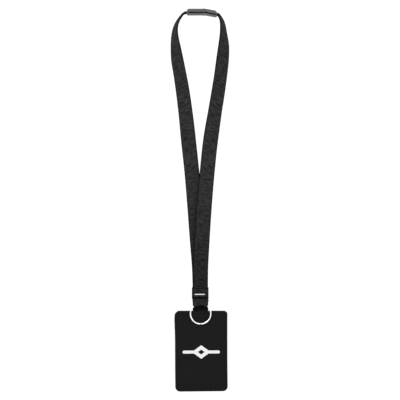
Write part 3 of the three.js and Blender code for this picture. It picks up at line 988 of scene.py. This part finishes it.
def binding_profile():
    """The folded tape's section as (inset, y) points: round the outside, back along the inside."""
    front, back = BINDING_FACES
    thick = BINDING_THICKNESS
    bend = 1.7
    outside = [(BINDING_LAP - 0.12, front + 0.03)]
    for inset in (2.3, 2.0):
        outside.append((inset, front))
    for i in range(7):
        angle = math.radians(90 * i / 6)
        outside.append((bend - bend * math.sin(angle), front + bend - bend * math.cos(angle)))
    middle = (front + back) / 2
    outside.append((0, middle))
    for i in range(7):
        angle = math.radians(90 * i / 6)
        outside.append((bend - bend * math.cos(angle), back - bend + bend * math.sin(angle)))
    for inset in (2.0, 2.3):
        outside.append((inset, back))
    outside.append((BINDING_LAP - 0.12, back - 0.03))
    inner = []
    for inset, y in outside:
        if inset < bend:
            inset += thick * (1 - inset / BINDING_LAP)
        lean = min(1, abs(y - middle) / ((back - front) / 2))
        inner.append((inset, y - math.copysign(thick * lean**2, y - middle)))
    lip_front = [(BINDING_LAP, front + thick / 2)]
    lip_back = [(BINDING_LAP, back - thick / 2)]
    return outside + lip_back + inner[::-1] + lip_front


def edge_binding():
    profile = binding_profile()
    rings = []
    uvs = []
    travelled = 0
    stations = rim()
    for i, (place, inward) in enumerate(stations):
        if i:
            travelled += (place - stations[i - 1][0]).length
        ring = []
        ring_uvs = []
        girth = 0
        for k, (inset, y) in enumerate(profile):
            if k:
                girth += math.dist(profile[k - 1], (inset, y))
            ripple = 0.07 * noise.noise(Vector((travelled * 0.12, y * 0.3, inset)))
            ring.append(place + inward * (inset + ripple) + Vector((0, y, 0)))
            ring_uvs.append((girth, travelled))
        rings.append(ring)
        uvs.append(ring_uvs)
    piece = loft("binding_tape", rings, uvs, binding_black, sharp=60)
    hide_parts("edge_binding")
    return piece


def edge_distance(x, z):
    """How far a point of the panel is from the nearest side of the holder."""
    sides = HOLDER["half_width"] - abs(x)
    return min(sides, HOLDER["top"] - z, z - HOLDER["bottom"])


def front_surface(x, z):
    """The front fabric's y: held flat under the binding and hem, and softly crowned between."""
    rise = min(max((edge_distance(x, z) - BINDING_LAP) / 9, 0), 1)
    rise = math.sin(rise * math.pi / 2)
    soft = 0.1 * noise.noise(Vector((x * 0.05, z * 0.05, 3.1)))
    aside = (x - BULGE["x"]) / BULGE["half_width"]
    above = (z - BULGE["z"]) / BULGE["half_height"]
    bulge = BULGE["rise"] * math.exp(-(aside**2) - above**2)
    return FRONT_FACE - rise * (CROWN + soft + bulge)


def front_panel():
    """The front fabric: a crowned face and a flat back, built of rings shrinking inwards."""
    half = HOLDER["half_width"] - PANEL_INSET
    top = HOLDER["top"] - PANEL_INSET
    bottom = HOLDER["bottom"] + PANEL_INSET
    radii = HOLDER["top_radius"] - PANEL_INSET, HOLDER["bottom_radius"] - PANEL_INSET
    corners = corner_arcs(half, top, bottom, *radii, 5, 5)
    outline = [(place.x, place.z) for place in closed_outline(corners, 2.5)]
    middle_z = sum(z for _, z in outline) / len(outline)
    shares = [1, 0.985, 0.965, 0.94, 0.9, 0.85, 0.78, 0.7, 0.6, 0.5, 0.4, 0.3, 0.2, 0.1, 0.03]
    points = []
    uvs = []
    rows = []

    def add_row(share, height):
        row = []
        for x, z in outline:
            x, z = x * share, middle_z + (z - middle_z) * share
            row.append(len(points))
            points.append(Vector((x, height(x, z), z)))
            uvs.append((x, z))
        rows.append(row)

    for share in reversed(shares):
        add_row(share, lambda x, z: FRONT_BACK)
    add_row(1, lambda x, z: (front_surface(x, z) + FRONT_BACK) / 2)
    for share in shares:
        add_row(share, front_surface)
    piece = make_object("front_fabric", points, skin(rows), holder_black, uvs, 50)
    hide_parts("front_panel")
    return piece


def front_hem():
    """The tape folded over the top edge of the front, between the ends of the binding."""
    half = HOLDER["half_width"] - BINDING_LAP - 0.3
    top = HOLDER["top"]
    face = FRONT_FACE - 0.48
    section = [(face, top - 2.6)]
    section += [(face - 0.03, top - 2.3), (face - 0.03, top - 0.5), (face, top)]
    section += [(face + 0.18, top + 0.28), (face + 0.6, top + 0.36), (FRONT_BACK - 0.15, top + 0.3)]
    section += [(FRONT_BACK, top + 0.12), (FRONT_BACK - 0.05, top + 0.03)]
    section += [(FRONT_FACE - 0.08, top), (FRONT_FACE - 0.1, top - 2.3), (face + 0.2, top - 2.65)]
    rings = []
    uvs = []
    steps = 44
    for i in range(steps + 1):
        x = -half + 2 * half * i / steps
        ripple = 0.06 * noise.noise(Vector((x * 0.2, 5.5, 0)))
        rings.append([Vector((x, y, z + ripple)) for y, z in section])
        girth = 0
        ring_uvs = []
        for k, spot in enumerate(section):
            if k:
                girth += math.dist(section[k - 1], spot)
            ring_uvs.append((girth, x))
        uvs.append(ring_uvs)
    piece = loft("front_hem_tape", rings, uvs, binding_black, sharp=60)
    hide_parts("front_hem")
    return piece


def binding_stitches(front):
    """The row that sews the binding down, round the sides and the bottom."""
    side = -1 if front else 1
    y = BINDING_FACES[0] if front else BINDING_FACES[1]
    path = [place + inward * (BINDING_LAP - 0.75) + Vector((0, y, 0)) for place, inward in rim()]
    name = "binding_stitches_front" if front else "binding_stitches_back"
    return stitch_row(name, path, side * FRONT_TO_BACK, thread_binding, **HOLDER_STITCH)


def hem_stitches():
    half = HOLDER["half_width"] - BINDING_LAP - 1.5
    y = FRONT_FACE - 0.51
    z = HOLDER["top"] - 1.9
    path = [Vector((-half + 2 * half * i / 30, y, z)) for i in range(31)]
    return stitch_row("hem_stitches", path, -FRONT_TO_BACK, thread_binding, **HOLDER_STITCH)


def sewn_plate(node, material, round_by):
    piece = rounded_copy(node, material, round_by, 60, 40)
    return piece


def window_stitches():
    """The row round the window, outside its edge on the back of the frame."""
    out = 1.6
    half = WINDOW["half_width"] + out
    radius = WINDOW["radius"] + out
    corners = corner_arcs(half, WINDOW["top"] + out, WINDOW["bottom"] - out, radius, radius, 6, 6)
    outline = closed_outline(corners, 3)
    path = [place + FRAME_FACES[1] * FRONT_TO_BACK for place in outline + outline[:1]]
    return stitch_row("window_stitches", path, FRONT_TO_BACK, thread_binding, **WINDOW_STITCH)


def emblem():
    """A bar through a diamond with a diamond hole, printed thick on the crowned front."""
    half_bar, bar_tall = EMBLEM["bar"][0] / 2, EMBLEM["bar"][1] / 2
    half_wide, half_tall = (value / 2 for value in EMBLEM["diamond"])
    hole_wide, hole_tall = (value / 2 for value in EMBLEM["hole"])
    centre = EMBLEM["z"]
    columns = 100

    def upper(x):
        end = max(0, (half_bar - abs(x)) / bar_tall)
        bar = bar_tall * math.sqrt(max(0, 1 - (1 - min(1, end)) ** 2))
        return max(bar, half_tall * (1 - abs(x) / half_wide), 0.02)

    def lower(x):
        return max(0, hole_tall * (1 - abs(x) / hole_wide))

    stops = sorted(
        {-half_bar + 2 * half_bar * i / columns for i in range(columns + 1)}
        | {-hole_wide, hole_wide, 0.0}
    )

    def strip(sign):
        rings = []
        uvs = []
        for x in stops:
            low, high = lower(x), upper(x)
            ring = []
            rows = 8
            for k in range(rows + 1):
                z = centre + sign * (low + (high - low) * k / rows)
                proud = EMBLEM["thickness"] * (0.55 if k in (0, rows) and high - low > 0.1 else 1)
                ring.append(Vector((x, front_surface(x, z) - proud, z)))
            for k in range(rows, -1, -1):
                z = centre + sign * (low + (high - low) * k / rows)
                ring.append(Vector((x, front_surface(x, z) + 0.05, z)))
            rings.append(ring)
            uvs.append([(p.x, p.z) for p in ring])
        return rings, uvs

    pieces = []
    for name, sign in (("emblem_upper", 1), ("emblem_lower", -1)):
        rings, uvs = strip(sign)
        piece = loft(name, rings, uvs, print_white, sharp=50)
        pieces.append(piece)
    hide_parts("front_emblem")
    return pieces


def settle(piece):
    """Sewn fabric is never quite true: the left side swells below its corner, which is rounder, the
    bottom edge runs a little askew, and the lower corners curl back."""
    half = HOLDER["half_width"]
    height = HOLDER["top"] - HOLDER["bottom"]
    for vertex in piece.data.vertices:
        x, z = vertex.co.x / MM, vertex.co.z / MM
        share = (HOLDER["top"] - z) / height
        side = x / half
        above = (z - SWELL["z"]) / SWELL["half_height"]
        swell = SWELL["reach"] * (math.exp(-(above**2)) * max(0, -side) ** 2)
        corner = math.exp(-((x + half) ** 2 + (z - HOLDER["top"]) ** 2) / 14)
        skew = 0.5 * share**3 - 0.12 * math.sin(math.pi * share) * max(0, side)
        vertex.co.x += (0.9 * corner - swell + skew) * MM
        vertex.co.y += 0.5 * side * side * share * MM
        vertex.co.z += (0.35 * side * share - 0.05 * share - 0.7 * corner) * MM


thread_binding = thread_material("binding_thread", 0.012)
holder_pieces = [
    front_panel(),
    front_hem(),
    edge_binding(),
    binding_stitches(True),
    binding_stitches(False),
    hem_stitches(),
    window_stitches(),
    sewn_plate("pocket_lining", lining_black, 0.12),
    sewn_plate("stiffener", board_grey, 0.15),
    sewn_plate("window_frame", holder_black, 0.14),
    sewn_plate("card_window", clear_vinyl, 0.1),
    *emblem(),
]
for piece in holder_pieces:
    settle(piece)
    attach(piece, "badge_holder")

# ---- Camera, light and floor ----

VIEW_CENTRE = (-1.6, -246.4)  # x and z
VIEW_SIZE = 533.3  # the view's width
LENS = 350
SENSOR = 36
DAYLIGHT = 1.08
LIGHTS_AIM = (0, 0, -0.25)  # metres, as are the lights' places and the floor
FLOOR_Z = -0.72  # well below the hanging holder
FLOOR_REACH = 12


def camera():
    data = bpy.data.cameras.new("camera")
    data.lens = LENS
    data.sensor_width = SENSOR
    data.clip_end = 50
    eye = bpy.data.objects.new("camera", data)
    x, z = VIEW_CENTRE
    eye.location = Vector((x, -VIEW_SIZE * LENS / SENSOR, z)) * MM
    eye.rotation_euler = (math.pi / 2, 0, 0)
    bpy.context.scene.collection.objects.link(eye)
    bpy.context.scene.camera = eye


def area_light(name, place, size, power):
    data = bpy.data.lights.new(name, "AREA")
    data.shape = "DISK"
    data.size = size
    data.energy = power
    lamp = bpy.data.objects.new(name, data)
    lamp.location = place
    aim = Vector(LIGHTS_AIM) - Vector(place)
    lamp.rotation_euler = aim.to_track_quat("-Z", "Y").to_euler()
    bpy.context.scene.collection.objects.link(lamp)


def surroundings():
    world = bpy.data.worlds.new("studio")
    world.use_nodes = True
    sky = world.node_tree.nodes["Background"].inputs
    sky["Color"].default_value = (1, 1, 1, 1)
    sky["Strength"].default_value = DAYLIGHT
    bpy.context.scene.world = world
    bpy.context.scene.view_settings.view_transform = "Standard"
    area_light("key", (-1.1, -1.7, 1.1), 1.2, 34)
    area_light("fill", (1.5, -1.3, 0.2), 1.4, 12)
    turns = ((-1, -1), (1, -1), (1, 1), (-1, 1))
    corners = [(FLOOR_REACH * x, FLOOR_REACH * y, FLOOR_Z) for x, y in turns]
    mesh = bpy.data.meshes.new("floor")
    mesh.from_pydata(corners, [], [(0, 1, 2, 3)])
    mesh.materials.append(pale_material("pale_floor"))
    floor = bpy.data.objects.new("floor", mesh)
    bpy.context.scene.collection.objects.link(floor)


camera()
surroundings()
